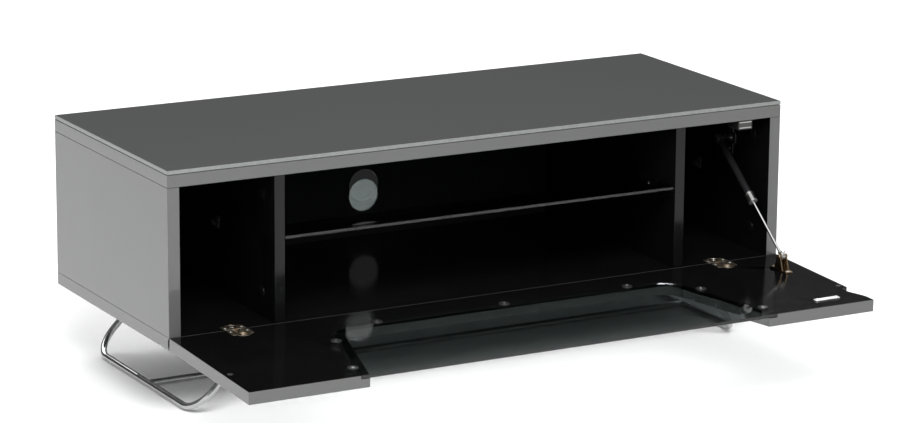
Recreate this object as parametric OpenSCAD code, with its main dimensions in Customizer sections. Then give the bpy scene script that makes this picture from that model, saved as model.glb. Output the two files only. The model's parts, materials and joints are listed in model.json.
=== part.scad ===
// Low media cabinet on splayed bent-bar legs, with a drop-down front flap.
// Millimetres, +Z up, the front faces -Y.
// The origin is on the floor, at the middle of the box that the cabinet fills with its flap open.

/* [Carcass] */
// Overall width of the carcass
carcass_w = 1000; // [960:1:1040]
// Depth of the carcass, front edge to rear edge
carcass_d = 396; // [380:1:420]
// Height of the carcass, underside to glass top
carcass_h = 254; // [246:1:262]
// Thickness of the lacquered boards
board_t = 18; // [18:0.5:19]
// Thickness of the two dividers
divider_t = 16; // [15:0.5:18]
// Distance of each divider's centre from the middle of the cabinet
divider_x = 328; // [320:1:334]
// Distance of the dividers behind the front edge
divider_setback = 4; // [3:0.5:8]
// Thickness of the back panel
back_t = 4; // [3:0.5:5]
// Distance of the back panel in front of the rear edge
back_inset = 8; // [6:0.5:12]
// Diameter of the cable holes in the back panel
cable_hole_d = 50; // [40:1:60]

/* [Glass] */
// Thickness of the glass on the top
top_glass_t = 5.4; // [5:0.1:6]
// Thickness of the adhesive strips under the top glass
bond_t = 0.6; // [0.4:0.1:0.8]
// Thickness of the glass shelf
shelf_t = 5; // [4:0.5:6]
// Height of the shelf's underside above the bottom panel
shelf_z = 118; // [110:1:124]
// Thickness of the window glass in the flap, flush in its rebate
window_glass_t = 5; // [4:0.5:5]

/* [Legs] */
// Height of the carcass above the floor
leg_h = 108; // [100:1:120]
// Diameter of the leg bar
bar_d = 10; // [9:0.5:12]
// Distance of the floor rails from the middle of the cabinet
rail_x = 451; // [440:1:460]
// Lean of the leg loops from the vertical
leg_lean = 44; // [40:1:46]
// Length of a loop's floor rail, upright centre to upright centre
loop_l = 349; // [330:1:352]
// Bend radius of the leg bar at its centre line
bend_r = 40; // [30:1:45]
// Distance of the cross bar in front of the loops' middle
cross_bar_y = 15; // [0:1:25]
// Thickness of the glides below the rails
glide_t = 1; // [0.8:0.1:1.2]

/* [Flap] */
// Length of the flap, hinge edge to free edge
flap_l = 253; // [248:1:253]
// How far the open flap hangs below level
flap_droop = 2; // [0:0.5:3]
// Gap at the hinge joint when the flap is open
joint_gap = 0.8; // [0.8:0.1:1]
// Gap behind the closed flap
closed_gap = 1; // [1:0.1:1.4]
// Half width of the window at the free edge
window_front_x = 320; // [310:1:324]
// Half width of the window at the hinge side
window_rear_x = 267; // [260:1:272]
// Distance of the window from the hinge edge
window_rear_y = 66; // [64:1:72]
// Radius of the window's rear corners
window_r = 26; // [20:1:30]
// Width of the rebate that carries the glass
rebate_w = 13; // [12:0.5:14]
// Distance of the finger pull from the hinge edge
pull_y = 185; // [180:1:190]
// Depth of the finger pull into the edge
pull_depth = 12; // [8:1:13]

/* [Hinges] */
// Distance of each hinge from the middle of the cabinet
hinge_x = 398; // [385:1:405]
// Width of a hinge's plates
hinge_w = 34; // [33:0.5:36]
// Diameter of a hinge's sunk cups
cup_d = 23; // [22:0.5:24]
// Diameter of a hinge's pin
pin_d = 4; // [3.5:0.1:4]

/* [Stay] */
// Distance of the stay from the middle of the cabinet
stay_x = 460; // [458:0.5:461]
// Distance of the upper pivot behind the front edge
upper_pivot_y = 104; // [100:1:110]
// Height of the upper pivot above the bottom panel
upper_pivot_z = 162; // [158:1:164]
// Distance of the lower pivot from the hinge edge
lower_pivot_y = 73; // [71:1:74]
// Height of the lower pivot above the flap's inner face
lower_pivot_z = 21; // [20:0.5:23]
// Diameter of the stay's cylinder
cylinder_d = 11; // [10:0.5:12]
// Diameter of the stay's rod
rod_d = 4; // [3.5:0.1:4.5]

/* [Catch] */
// Distance of the catch from the middle of the cabinet
catch_x = 439; // [436:1:440]
// Distance of the strike plate's middle line from the hinge edge
striker_y = 223; // [222:0.5:224]
// Length of the strike plate
striker_l = 42; // [40:1:44]
// Thickness of the strike plate
striker_t = 1.5; // [1.2:0.1:1.5]

/* [Hidden] */
$fn = 64;

fit = 0.1;                // clearance of fixed pieces in their seats
run = 0.3;                // clearance between pieces that move past each other
pin_run = 0.05;           // radial clearance of a pin that turns in its hole
through = 1;              // how far a cut runs past a face

// Flap kinematics: one pivot that carries the flap from flush with the bottom panel to full cover.
pivot_y = (closed_gap + board_t + joint_gap) / 2;
pivot_z = (closed_gap + board_t - joint_gap) / 2;
cove_r = norm([pivot_y - joint_gap, board_t - pivot_z]) + run;

// Depth of the open flap in front of the carcass, which sets the origin.
flap_reach = pivot_y + (flap_l + joint_gap - pivot_y) * cos(flap_droop)
           + (board_t - pivot_z) * sin(flap_droop);
front_y = flap_reach - (carcass_d + flap_reach) / 2;
under_z = leg_h;
inner_z = under_z + board_t;
top_board_z = under_z + carcass_h - top_glass_t - bond_t;
roof_z = top_board_z - board_t;
inner_h = roof_z - inner_z;
inner_x = carcass_w / 2 - board_t;
groove = 5;                                  // depth of the back panel's grooves
back_y = carcass_d - back_inset - back_t;    // front face of the back panel, from the front edge

// Frames --------------------------------------------------------------------

// Carcass frame: y counts from the front edge towards the back, z from the underside.
module in_carcass() translate([0, front_y, under_z]) children();

// Flap frame: as the carcass frame, with the flap level; -y is outwards, z from the outer face.
module in_flap()
  in_carcass() translate([0, -pivot_y, pivot_z]) rotate([flap_droop, 0, 0])
    translate([0, pivot_y, -pivot_z]) children();

module both_sides() {
  children();
  mirror([1, 0, 0]) children();
}

// A wood screw with its head's top at the origin, pointing down.
module wood_screw(head_d, length) {
  shank_d = head_d * 0.45;
  head_t = head_d * 0.28;
  difference() {
    union() {
      translate([0, 0, -head_t]) cylinder(h = head_t, d1 = shank_d, d2 = head_d, $fn = 24);
      translate([0, 0, -length]) cylinder(h = length - head_t + 0.01, d = shank_d, $fn = 24);
    }
    for (turn = [0, 90]) rotate([0, 0, turn])
      translate([-head_d * 0.28, -head_d * 0.05, -head_t * 0.45]) cube([head_d * 0.56, head_d * 0.1, head_t]);
  }
}

// The countersunk hole that a wood screw of the same head passes through.
module screw_hole(head_d) {
  shank_d = head_d * 0.45;
  head_t = head_d * 0.28;
  translate([0, 0, -head_t]) cylinder(h = head_t + 0.01, d1 = shank_d + 0.4, d2 = head_d + 0.4, $fn = 24);
  translate([0, 0, -20]) cylinder(h = 21, d = shank_d + 0.4, $fn = 24);
}

module round_box(size, r) {
  translate([r, 0, 0]) cube([size.x - 2 * r, size.y, size.z]);
  translate([0, r, 0]) cube([size.x, size.y - 2 * r, size.z]);
  for (x = [r, size.x - r], y = [r, size.y - r])
    translate([x, y, 0]) cylinder(h = size.z, r = r, $fn = 32);
}

// Knock-down fittings ---------------------------------------------------------

cam_d = 15;
cam_t = 12.4;
cam_edge = 34;            // distance of a cam's centre from the panel's edge
cam_ys = [47, carcass_d - 70];
bolt_d = 6;
bolt_bite = 11;           // how far a bolt or dowel reaches into the top or bottom panel
dowel_d = 8;
dowel_l = 30;
dowel_y = carcass_d / 2 - 40;

// The joints: each vertical panel's centre x, and the side that its cams open to.
side_cx = carcass_w / 2 - board_t / 2;
joint_xs = [[-side_cx, 1, board_t], [-divider_x, -1, divider_t], [divider_x, 1, divider_t],
            [side_cx, -1, board_t]];

module cam_places()
  for (j = joint_xs, y = cam_ys, z = [board_t + cam_edge, board_t + inner_h - cam_edge])
    translate([j[0] + j[1] * (j[2] / 2 - cam_t), y, z]) rotate([0, 90 * j[1], 0]) children();

module bolt_places()
  for (j = joint_xs, y = cam_ys) {
    translate([j[0] + j[1] * (j[2] / 2 - cam_t / 2), y, board_t - bolt_bite]) children();
    translate([j[0] + j[1] * (j[2] / 2 - cam_t / 2), y, board_t + inner_h + bolt_bite])
      rotate([180, 0, 0]) children();
  }

module dowel_places()
  for (j = joint_xs, z = [board_t - bolt_bite, board_t + inner_h + bolt_bite - dowel_l])
    translate([j[0], dowel_y, z]) children();

module fitting_cuts() {
  cam_places() cylinder(h = cam_t + through, d = cam_d);
  bolt_places() cylinder(h = bolt_bite + cam_edge, d = bolt_d, $fn = 24);
  dowel_places() cylinder(h = dowel_l, d = dowel_d, $fn = 24);
}

module cam_locks() color("dimgray") in_carcass() difference() {
  cam_places() cylinder(h = cam_t, d = cam_d);
  cam_places() for (turn = [45, 135]) rotate([0, 0, turn])
    translate([-4, -0.9, cam_t - 2]) cube([8, 1.8, 3]);
  bolt_places() cylinder(h = bolt_bite + cam_edge, d = bolt_d, $fn = 24);
}

// Push-in covers over the cams.
module cam_covers() color("#4a4a4a") in_carcass() cam_places() translate([0, 0, cam_t]) {
  cylinder(h = 0.7, d = cam_d + 4);
  translate([0, 0, 0.69]) cylinder(h = 0.5, d1 = cam_d + 4, d2 = cam_d + 2);
}

module cam_bolts() color("silver") in_carcass() bolt_places() {
  cylinder(h = bolt_bite, d = bolt_d, $fn = 24);
  translate([0, 0, bolt_bite - 0.01]) cylinder(h = cam_edge - 5, d = bolt_d - 2, $fn = 24);
  translate([0, 0, bolt_bite + cam_edge - 5]) cylinder(h = 5, d = bolt_d, $fn = 24);
}

module dowels() color("burlywood") in_carcass() dowel_places() cylinder(h = dowel_l, d = dowel_d, $fn = 24);

// Carcass boards --------------------------------------------------------------

module back_slot() translate([-inner_x - groove, back_y, board_t - groove])
  cube([2 * (inner_x + groove), back_t + fit, inner_h + 2 * groove]);

module top_panel() color("#6b6d6b") difference() {
  in_carcass() translate([-carcass_w / 2, 0, board_t + inner_h]) cube([carcass_w, carcass_d, board_t]);
  in_carcass() back_slot();
  in_carcass() fitting_cuts();
  catch_screws();
}

module bottom_panel() color("#6b6d6b") difference() {
  in_carcass() difference() {
    translate([-carcass_w / 2, 0, 0]) cube([carcass_w, carcass_d, board_t]);
    back_slot();
    fitting_cuts();
    // Cove that the flap's inner corner turns in, behind the joint.
    translate([-carcass_w / 2 - through, -pivot_y, pivot_z]) rotate([0, 90, 0])
      cylinder(h = carcass_w + 2 * through, r = cove_r, $fn = 96);
  }
  for (side = [-1, 1]) hinge_base_seat(side);
  hinge_base_screws();
  leg_screws();
}

module side_panel() in_carcass() difference() {
  translate([inner_x, 0, board_t]) cube([board_t, carcass_d, inner_h]);
  back_slot();
  fitting_cuts();
}

module side_panel_left() color("#7b7d7b") mirror([1, 0, 0]) side_panel();

module side_panel_right() color("#6b6d6b") difference() {
  side_panel();
  stay_upper_screws();
}

support_ys = [65, back_y - 60];
support_pin_d = 5;

module divider(side) in_carcass() difference() {
  translate([side * divider_x - divider_t / 2, divider_setback, board_t])
    cube([divider_t, back_y - divider_setback, inner_h]);
  fitting_cuts();
  for (y = support_ys) translate([side * divider_x, y, board_t + shelf_z - 4]) rotate([0, -90 * side, 0])
    cylinder(h = divider_t, d = support_pin_d, $fn = 24);
}

module divider_left() color("#2b2b2c") divider(-1);

module divider_right() color("#2b2b2c") divider(1);

module cable_hole_places() {
  translate([0, 0, board_t + shelf_z / 2]) children();
  translate([0, 0, board_t + (shelf_z + shelf_t + inner_h) / 2]) children();
}

module back_panel() color("#1c1c1d") in_carcass() difference() {
  slack = 0.5;
  translate([-inner_x - groove + slack, back_y, board_t - groove + slack])
    cube([2 * (inner_x + groove - slack), back_t, inner_h + 2 * (groove - slack)]);
  cable_hole_places() translate([0, back_y - through, 0]) rotate([-90, 0, 0])
    cylinder(h = back_t + 2 * through, d = cable_hole_d);
}

// Glass -----------------------------------------------------------------------

arris = 0.8;              // ground bevel on the glass edges

module bevelled_plate(size) hull() {
  translate([arris, arris, 0]) cube([size.x - 2 * arris, size.y - 2 * arris, size.z]);
  translate([0, 0, arris]) cube([size.x, size.y, size.z - 2 * arris]);
}

module top_glass() color("#646664") in_carcass()
  translate([-carcass_w / 2, 0, carcass_h - top_glass_t]) bevelled_plate([carcass_w, carcass_d, top_glass_t]);

module glass_bond_strips() color("#9a9c9a") in_carcass() {
  inset = 6;
  strip_w = 12;
  z = carcass_h - top_glass_t - bond_t;
  for (y = [inset, carcass_d - inset - strip_w])
    translate([-carcass_w / 2 + inset, y, z]) cube([carcass_w - 2 * inset, strip_w, bond_t]);
  for (x = [-carcass_w / 2 + inset, carcass_w / 2 - inset - strip_w])
    translate([x, inset + strip_w + 2, z]) cube([strip_w, carcass_d - 2 * (inset + strip_w + 2), bond_t]);
}

shelf_half = divider_x - divider_t / 2 - 1;
shelf_front = divider_setback + 2;

module glass_shelf() color("#3c4543", 0.6) in_carcass()
  translate([-shelf_half, shelf_front, board_t + shelf_z])
    bevelled_plate([2 * shelf_half, back_y - shelf_front - 6, shelf_t]);

// Steel pins with clear suction pads that the shelf lies on.
module shelf_supports() color("silver") in_carcass() both_sides()
  for (y = support_ys) translate([divider_x - divider_t / 2, y, board_t + shelf_z]) {
    translate([-11, 0, -4]) rotate([0, 90, 0])
    cylinder(h = 11 + divider_t / 2 - fit, d = support_pin_d, $fn = 24);
    translate([-9, 0, -2.5]) cylinder(h = 2.5, d1 = 6, d2 = 11, $fn = 32);
    translate([-9, 0, -5.5]) cylinder(h = 3.01, d = 6, $fn = 32);
  }

// Small stick-on clips that hold a cable against a panel.
clip_y = 190;
clip_z = 104;

module cable_clip() {
  difference() {
    union() {
      translate([0, -5, -9]) cube([1.5, 10, 18]);
      translate([5, 5, 1]) rotate([90, 0, 0]) cylinder(h = 10, r = 5, $fn = 32);
    }
    translate([5, 6, 1]) rotate([90, 0, 0]) cylinder(h = 12, r = 3.4, $fn = 32);
    translate([3, -6, 3.5]) cube([6, 12, 4]);
  }
}

module cable_clips() color("#303030") in_carcass() {
  translate([-divider_x - divider_t / 2, clip_y, board_t + clip_z]) mirror([1, 0, 0]) cable_clip();
  translate([inner_x, clip_y, board_t + clip_z]) mirror([1, 0, 0]) cable_clip();
}

// Legs ------------------------------------------------------------------------

plate_t = 3;
rail_z = glide_t + bar_d / 2;
loop_mid_y = front_y + carcass_d / 2;
upright_y = loop_l / 2;
loop_rise = (leg_h - rail_z) / cos(leg_lean) + bar_d;
top_x = rail_x - (leg_h - rail_z) * tan(leg_lean);   // where an upright meets the carcass

module bend() rotate_extrude(angle = 90, $fn = 96) translate([bend_r, 0]) circle(d = bar_d, $fn = 32);

// One loop standing in the YZ plane, its rail's centre on the Y axis.
module loop_bar() {
  straight = loop_l - 2 * bend_r;
  translate([0, straight / 2, 0]) rotate([90, 0, 0]) cylinder(h = straight, d = bar_d, $fn = 32);
  for (end = [0, 1]) mirror([0, end, 0]) translate([0, straight / 2, bend_r]) {
    rotate([0, 90, 0]) rotate([0, 0, 0]) bend();
    translate([0, bend_r, 0]) cylinder(h = loop_rise - bend_r, d = bar_d, $fn = 32);
  }
}

module leg() intersection() {
  translate([rail_x, loop_mid_y, rail_z]) rotate([0, -leg_lean, 0]) loop_bar();
  translate([0, -carcass_w, -carcass_w]) cube([carcass_w, 2 * carcass_w, carcass_w + leg_h - plate_t]);
}

module leg_right() color("silver") leg();

module leg_left() color("silver") mirror([1, 0, 0]) leg();

module cross_bar() color("silver") difference() {
  translate([-rail_x, loop_mid_y - cross_bar_y, rail_z]) rotate([0, 90, 0])
    cylinder(h = 2 * rail_x, d = bar_d, $fn = 32);
  both_sides() translate([rail_x, loop_mid_y + loop_l / 2 - bend_r, rail_z]) rotate([90, 0, 0])
    cylinder(h = loop_l - 2 * bend_r, d = bar_d, $fn = 32);
}

plate_l = 56;
plate_w = 38;
leg_screw_gap = 40;

module leg_plate_places() both_sides() for (side = [-1, 1])
  translate([top_x, loop_mid_y + side * upright_y, leg_h - plate_t]) children();

module leg_screw_places() leg_plate_places() for (side = [-1, 1])
  translate([side * leg_screw_gap / 2 - 1, 0, 0]) children();

module leg_plates() color("silver") difference() {
  leg_plate_places() translate([-plate_l / 2, -plate_w / 2, 0]) round_box([plate_l, plate_w, plate_t], 5);
  leg_screw_places() mirror([0, 0, 1]) screw_hole(8);
}

module leg_screws() color("dimgray") leg_screw_places() mirror([0, 0, 1]) wood_screw(8, 16);

glide_l = 18;

module leg_glides() color("#202020") both_sides() for (side = [-1, 1])
  translate([rail_x, loop_mid_y + side * (loop_l / 2 - bend_r - 20), 0]) difference() {
    translate([-4, -glide_l / 2, 0]) cube([8, glide_l, rail_z - 2]);
    translate([0, glide_l / 2 + through, rail_z]) rotate([90, 0, 0])
      cylinder(h = glide_l + 2 * through, d = bar_d, $fn = 32);
  }

// Flap hinges -----------------------------------------------------------------

hinge_plate_t = 1.5;
cup_t = 11;
arm_w = 10;               // width of the base's tongue that carries the pin
ear_w = 3;                // width of each ear of the flap's arm
ear_r = 7;
tongue_r = 4.2;
base_cup_y = 13;          // centre of the base's cup behind the front edge
arm_cup_y = 21;           // centre of the arm's cup from the hinge edge
base_plate_y = 1.5;       // front of the base's plate behind the front edge
base_plate_l = 18;
arm_plate_y = 3;          // rear of the arm's plate from the joint line
arm_plate_l = 22;
screw_dx = 12.6;
hinge_screw_y = 9.5;      // distance of the plates' screws from the joint line
hinge_screw_d = 5;

// Both outlines grow by the fit only where a cup drops in; the thin plates lie flush in their seats.
module hinge_plate(deep) translate([-hinge_w / 2, 0, -hinge_plate_t])
  round_box([hinge_w, deep, hinge_plate_t], 4);

// The base's outline, sunk in the bottom panel's top; the origin is at the front edge.
module hinge_base_shape(grow) {
  translate([0, base_plate_y, 0]) hinge_plate(base_plate_l);
  translate([0, base_cup_y, -hinge_plate_t]) cylinder(h = hinge_plate_t, d = cup_d);
  translate([0, base_cup_y, -cup_t - grow]) cylinder(h = cup_t + grow, d = cup_d - 2 + 2 * grow);
}

module hinge_base_seat(side) in_carcass() translate([side * hinge_x, 0, board_t]) {
  hinge_base_shape(fit);
  translate([-arm_w / 2 - run, -pivot_y, -board_t + pivot_z - tongue_r - run])
    cube([arm_w + 2 * run, pivot_y + base_cup_y, board_t - pivot_z + tongue_r + run + through]);
}

module hinge_base(side) color("#b5aa98") in_carcass() translate([side * hinge_x, 0, board_t]) difference() {
  union() {
    hinge_base_shape(0);
    translate([-arm_w / 2, -pivot_y, -board_t + pivot_z - tongue_r])
      cube([arm_w, pivot_y + base_cup_y, 2 * tongue_r]);
    translate([-arm_w / 2, -pivot_y, -board_t + pivot_z]) rotate([0, 90, 0])
      cylinder(h = arm_w, r = tongue_r);
  }
  translate([-arm_w / 2 - through, -pivot_y, -board_t + pivot_z]) rotate([0, 90, 0])
    cylinder(h = arm_w + 2 * through, d = pin_d);
  for (x = [-screw_dx, screw_dx]) translate([x, hinge_screw_y, 0]) screw_hole(hinge_screw_d);
  // Sunk middle of the cup, with the adjusting screw's seat.
  translate([0, base_cup_y + 2, -3]) cylinder(h = 3 + through, d = 14);
}

module hinge_base_left() hinge_base(-1);

module hinge_base_right() hinge_base(1);

module hinge_base_screws() color("#d8d8d4") in_carcass() for (side = [-1, 1]) {
  for (x = [-screw_dx, screw_dx]) translate([side * hinge_x + x, hinge_screw_y, board_t])
    wood_screw(hinge_screw_d, 15);
  translate([side * hinge_x, base_cup_y + 2, board_t - 1]) wood_screw(7, 2);
}

pin_l = arm_w + 2 * (ear_w + run) - 0.4;

module hinge_pins() color("silver") in_carcass() for (side = [-1, 1])
  translate([side * hinge_x - pin_l / 2, -pivot_y, pivot_z]) rotate([0, 90, 0])
    cylinder(h = pin_l, d = pin_d);

slot_w = arm_w + 2 * run + 2 * ear_w + 2 * fit;

// The arm's outline, sunk in the flap's inner face; the origin is at the joint line.
module hinge_arm_shape(grow) {
  translate([0, -arm_plate_y - arm_plate_l, 0]) hinge_plate(arm_plate_l);
  translate([0, -arm_cup_y, -hinge_plate_t]) cylinder(h = hinge_plate_t, d = cup_d);
  translate([0, -arm_cup_y, -cup_t - grow]) cylinder(h = cup_t + grow, d = cup_d - 2 + 2 * grow);
}

module hinge_arm_seat(side) translate([side * hinge_x, 0, board_t]) {
  hinge_arm_shape(fit);
  translate([-slot_w / 2, -arm_cup_y, -cup_t - 5]) cube([slot_w, arm_cup_y + through, cup_t + 5 + through]);
}

module hinge_arm(side) color("#b5aa98") in_flap() translate([side * hinge_x, 0, board_t]) difference() {
  union() {
    hinge_arm_shape(0);
    for (x = [-arm_w / 2 - run - ear_w, arm_w / 2 + run]) {
      translate([x, -pivot_y, -board_t + pivot_z]) rotate([0, 90, 0]) cylinder(h = ear_w, r = ear_r);
      translate([x, -arm_cup_y, -cup_t]) cube([ear_w, arm_cup_y - pivot_y, cup_t - 1]);
    }
  }
  translate([-slot_w / 2 - through, -pivot_y, -board_t + pivot_z]) rotate([0, 90, 0])
    cylinder(h = slot_w + 2 * through, r = pin_d / 2 + pin_run);
  // Room for the base's tongue as the flap turns.
  translate([-arm_w / 2 - run, -pivot_y - tongue_r - run, -board_t]) cube([arm_w + 2 * run,
    pivot_y + tongue_r + run + through, board_t + through]);
  for (x = [-screw_dx, screw_dx]) translate([x, -hinge_screw_y, 0]) screw_hole(hinge_screw_d);
  translate([0, -arm_cup_y - 2, -3]) cylinder(h = 3 + through, d = 12);
}

module hinge_arm_left() hinge_arm(-1);

module hinge_arm_right() hinge_arm(1);

module hinge_arm_screws() color("#d8d8d4") in_flap() for (side = [-1, 1]) {
  for (x = [-screw_dx, screw_dx])
    translate([side * hinge_x + x, -hinge_screw_y, board_t]) wood_screw(hinge_screw_d, 14);
  translate([side * hinge_x, -arm_cup_y - 2, board_t - 1]) wood_screw(7, 2);
}

// Flap ------------------------------------------------------------------------

window_slope = atan2(window_front_x - window_rear_x, flap_l - window_rear_y);
window_y = -joint_gap - window_rear_y;

// Window outline grown by g, open at the free edge; straight sides that narrow to the hinge side.
module window_outline(g) {
  end_y = -joint_gap - flap_l - through;
  end_x = window_rear_x + (g - (end_y - window_y) * sin(window_slope)) / cos(window_slope);
  cx = window_rear_x - window_r * (1 - sin(window_slope)) / cos(window_slope);
  cy = window_y - window_r;
  r = window_r + g;
  turns = [for (k = [0 : 12]) window_slope + k * (90 - window_slope) / 12];
  polygon(concat(
    [[end_x, end_y]],
    [for (t = turns) [cx + r * cos(t), cy + r * sin(t)]],
    [for (k = [12 : -1 : 0]) [-cx - r * cos(turns[k]), cy + r * sin(turns[k])]],
    [[-end_x, end_y]]
  ));
}

// Finger pull: a steep start towards the hinge and a long run-out towards the free corner.
module finger_pull() {
  l = 55;
  start_r = 9;
  keep = 6;               // board left under the pull, so that it stays hidden from the front
  translate([carcass_w / 2, -joint_gap - pull_y, keep]) linear_extrude(board_t) polygon(concat(
    [[through, 0], [-pull_depth + start_r, 0]],
    [for (t = [90 : 15 : 180]) [-pull_depth + start_r + start_r * cos(t), -start_r + start_r * sin(t)]],
    [for (k = [0.1 : 0.1 : 1]) [-pull_depth * (1 + cos(180 * k)) / 2, -start_r - (l - start_r) * k]],
    [[through, -l]]
  ));
}

module flap_board() color("#6b6d6b") difference() {
  flap_blank();
  hinge_arm_screws();
  glass_clip_screws();
  stay_lower_screws();
  striker_screws();
}

module flap_blank() in_flap() difference() {
  translate([-carcass_w / 2, -joint_gap - flap_l, 0]) cube([carcass_w, flap_l, board_t]);
  translate([0, 0, -through]) linear_extrude(board_t + 2 * through) window_outline(0);
  translate([0, 0, board_t - window_glass_t]) linear_extrude(window_glass_t + through)
    window_outline(rebate_w);
  finger_pull();
  for (side = [-1, 1]) hinge_arm_seat(side);
}

module flap_glass() color("#2c3431", 0.55) in_flap() translate([0, 0, board_t - window_glass_t])
  intersection() {
    linear_extrude(window_glass_t) window_outline(rebate_w - 0.5);
    translate([-carcass_w / 2, -joint_gap - flap_l + 0.6, -through])
      cube([carcass_w, flap_l, board_t]);
  }

clip_d = 16;
clip_t = 2;
side_clip_ys = [106, 220];
rear_clip_xs = [-205, 0, 205];
side_clip_out = rebate_w + 6;  // distance of a clip's centre outside the window
rear_clip_out = rebate_w + 2;

module glass_clip_places() {
  for (y = side_clip_ys, side = [-1, 1])
    translate([side * (window_rear_x + (y - window_rear_y) * tan(window_slope) + side_clip_out),
      -joint_gap - y, board_t]) children();
  for (x = rear_clip_xs) translate([x, window_y + rear_clip_out, board_t]) children();
}

module glass_clips() color("#3a3a3a") in_flap() difference() {
  glass_clip_places() {
    cylinder(h = clip_t - 0.8, d = clip_d);
    translate([0, 0, clip_t - 0.81]) cylinder(h = 0.81, d1 = clip_d, d2 = clip_d - 3);
  }
  glass_clip_places() translate([0, 0, clip_t]) screw_hole(6);
}

module glass_clip_screws() color("silver") in_flap()
  glass_clip_places() translate([0, 0, clip_t]) wood_screw(6, 13);

bumper_places = [[carcass_w / 2 - 9, 176], [-carcass_w / 2 + 9, 176]];

module flap_bumpers() color("#c8c8c8") in_flap() for (p = bumper_places)
  translate([p[0], -joint_gap - p[1], board_t]) cylinder(h = closed_gap - run, d = 8, $fn = 32);

// Stay ------------------------------------------------------------------------

function turned(p, a) = [p[0] * cos(a) - p[1] * sin(a), p[0] * sin(a) + p[1] * cos(a)];

pivot = [-pivot_y, pivot_z];
lower_level = [-joint_gap - lower_pivot_y, board_t + lower_pivot_z];
lower_p = pivot + turned(lower_level - pivot, flap_droop);
lower_closed = pivot + turned(lower_level - pivot, -90);
upper_p = [upper_pivot_y, board_t + upper_pivot_z];
stay_open_l = norm(lower_p - upper_p);
stay_closed_l = norm(lower_closed - upper_p);
stay_stroke = stay_open_l - stay_closed_l;
stay_turn = atan2(lower_p[0] - upper_p[0], upper_p[1] - lower_p[1]);

socket_d = 12;
socket_w = 10;
eye_w = 6.5;              // width of the end fitting's eye, between the lower bracket's ears
cylinder_top = 9;         // start of the cylinder below the upper pivot
cylinder_end = stay_closed_l - 13;
cylinder_bore = cylinder_d - 2.6;
piston_t = 6;
piston_open = cylinder_end - 13;

// Stay frame: the upper pivot at the origin, the lower one straight below it.
module in_stay() in_carcass() translate([stay_x, upper_p[0], upper_p[1]])
  rotate([stay_turn, 0, 0]) children();

module stay_top_socket() color("#262626") in_stay() difference() {
  union() {
    translate([-socket_w / 2, 0, 0]) rotate([0, 90, 0]) cylinder(h = socket_w, d = socket_d);
    translate([0, 0, -cylinder_top]) cylinder(h = 5, d = socket_w);
    translate([0, 0, -cylinder_top - 4]) cylinder(h = 5, d = cylinder_bore);
  }
  translate([-socket_w / 2 - through, 0, 0]) rotate([0, 90, 0])
    cylinder(h = socket_w + 2 * through, r = stud_d / 2 + pin_run);
}

module stay_cylinder() color("#1e1e1f") in_stay() difference() {
  translate([0, 0, -cylinder_end]) cylinder(h = cylinder_end - cylinder_top, d = cylinder_d);
  translate([0, 0, -cylinder_end + 4]) cylinder(h = cylinder_end, d = cylinder_bore);
  translate([0, 0, -cylinder_end - through]) cylinder(h = 6, r = rod_d / 2 + pin_run);
}

module stay_sleeve() color("silver") in_stay() difference() {
  union() {
    translate([0, 0, -cylinder_end - 2]) cylinder(h = 16, d = cylinder_d + 2.4);
    translate([0, 0, -cylinder_end - 2]) cylinder(h = 2.5, d = cylinder_d + 3.2);
    translate([0, 0, -cylinder_end + 11.5]) cylinder(h = 2.5, d = cylinder_d + 3.2);
  }
  translate([0, 0, -cylinder_end]) cylinder(h = 20, d = cylinder_d + 2 * fit);
  translate([0, 0, -cylinder_end - 3]) cylinder(h = 20, d = rod_d + 2 * run);
}

fitting_l = 9;            // reach of the end fitting's shank above the lower pivot

module stay_rod() color("#e0e0e0") in_stay()
  translate([0, 0, -stay_open_l + fitting_l - 5])
    cylinder(h = stay_open_l - fitting_l + 5 - piston_open, d = rod_d);

module stay_piston() color("silver") in_stay() difference() {
  translate([0, 0, -piston_open - piston_t - 1]) cylinder(h = piston_t, r = cylinder_bore / 2 - 0.08);
  translate([0, 0, -piston_open - piston_t - 2]) cylinder(h = piston_t + 2, d = rod_d);
}

module stay_end_fitting() color("silver") in_stay() translate([0, 0, -stay_open_l]) difference() {
  union() {
    translate([-eye_w / 2, 0, 0]) rotate([0, 90, 0]) cylinder(h = eye_w, d = 10);
    cylinder(h = fitting_l, d = eye_w);
  }
  translate([0, 0, fitting_l - 5]) cylinder(h = 6, d = rod_d);
  translate([-eye_w / 2 - through, 0, 0]) rotate([0, 90, 0])
    cylinder(h = eye_w + 2 * through, d = end_pin_d);
}

stud_d = 6;
end_pin_d = 5;
bracket_t = 2;
ear_x0 = eye_w / 2 + 1;          // inner faces of the lower bracket's two ears, from the stay's plane

// The pin rides in the end fitting and stops just short of the ear: the open pivot of the linkage.
module stay_end_pin() color("silver") in_stay() translate([0, 0, -stay_open_l])
  translate([-ear_x0 + run, 0, 0]) rotate([0, 90, 0]) cylinder(h = 2 * (ear_x0 - run), d = end_pin_d);

upper_screw_places = [[0, 18], [0, -18], [13, 0]];

// Cross-shaped plate on the right side panel, with the stud that the stay's socket turns on.
module stay_upper_bracket() color("#1e1e1f") in_carcass()
  translate([inner_x - bracket_t, upper_p[0], upper_p[1]]) difference() {
    union() {
      translate([0, -8, -25]) cube([bracket_t, 16, 50]);
      translate([0, -14, -8]) cube([bracket_t, 34, 16]);
      rotate([0, -90, 0]) cylinder(h = 4, d1 = 14, d2 = 10);
      rotate([0, -90, 0]) cylinder(h = inner_x - bracket_t - stay_x + socket_w / 2 + 1.5, d = stud_d);
      for (x = [-socket_w / 2 - 2, socket_w / 2 + run])
        translate([stay_x - inner_x + bracket_t + x, 0, 0]) rotate([0, 90, 0]) cylinder(h = 2 - run, d = 10);
    }
    for (p = upper_screw_places) translate([0, p[0], p[1]]) rotate([0, -90, 0]) screw_hole(5);
  }

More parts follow.
